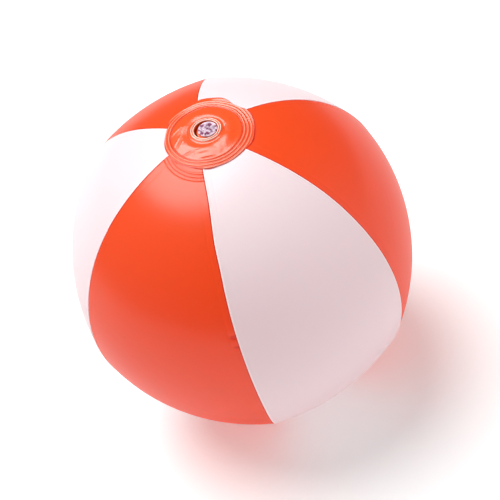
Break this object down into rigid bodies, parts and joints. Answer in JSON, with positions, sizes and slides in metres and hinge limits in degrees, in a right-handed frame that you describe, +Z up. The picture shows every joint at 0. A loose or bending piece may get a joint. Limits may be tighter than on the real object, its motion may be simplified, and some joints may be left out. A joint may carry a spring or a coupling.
{
  "type": "inflatable beach ball",
  "caption": "Inflatable ball of alternating orange and white vinyl gores with round cap discs at its poles and a push-in plug valve at the top.",
  "frame": {"origin": "foot of the polar axis, centre of the flat where the ball rests on its base cap disc", "axes": "+Z up the polar axis to the valve; one white panel faces -Y"},
  "size_m": [0.281, 0.274, 0.2868],
  "materials": {
    "orange_vinyl": "glossy film",
    "white_vinyl": "glossy film",
    "valve_vinyl": "soft clear moulding, glossy"
  },
  "bodies": {
    "bladder": {"orange_panel_1": "orange_vinyl", "white_panel_1": "white_vinyl", "orange_panel_2": "orange_vinyl", "white_panel_2": "white_vinyl", "orange_panel_3": "orange_vinyl", "white_panel_3": "white_vinyl", "base_cap_disc": "orange_vinyl", "valve_cap_disc": "orange_vinyl", "valve_flange": "valve_vinyl", "valve_sleeve": "valve_vinyl"},
    "stem": {"valve_stem": "valve_vinyl", "valve_strap": "valve_vinyl"},
    "plug": {"valve_plug": "valve_vinyl"},
    "flap": {"valve_flap": "valve_vinyl"}
  },
  "joints": [
    {"name": "stem_slide", "type": "slide", "parent": "bladder", "child": "stem", "axis": [0, 0, 1], "range_m": [0, 0.015], "deforming": ["valve_sleeve"]},
    {"name": "plug_slide", "type": "slide", "parent": "stem", "child": "plug", "axis": [0, 0, 1], "range_m": [0, 0.012], "deforming": ["valve_strap"]},
    {"name": "flap_hinge", "type": "hinge", "parent": "stem", "child": "flap", "pos_m": [0.00433, 0.0025, 0.26815], "axis": [0.5, -0.866, 0], "range_deg": [0, 60], "stiffness_Nm_per_rad": 0.0005}
  ]
}
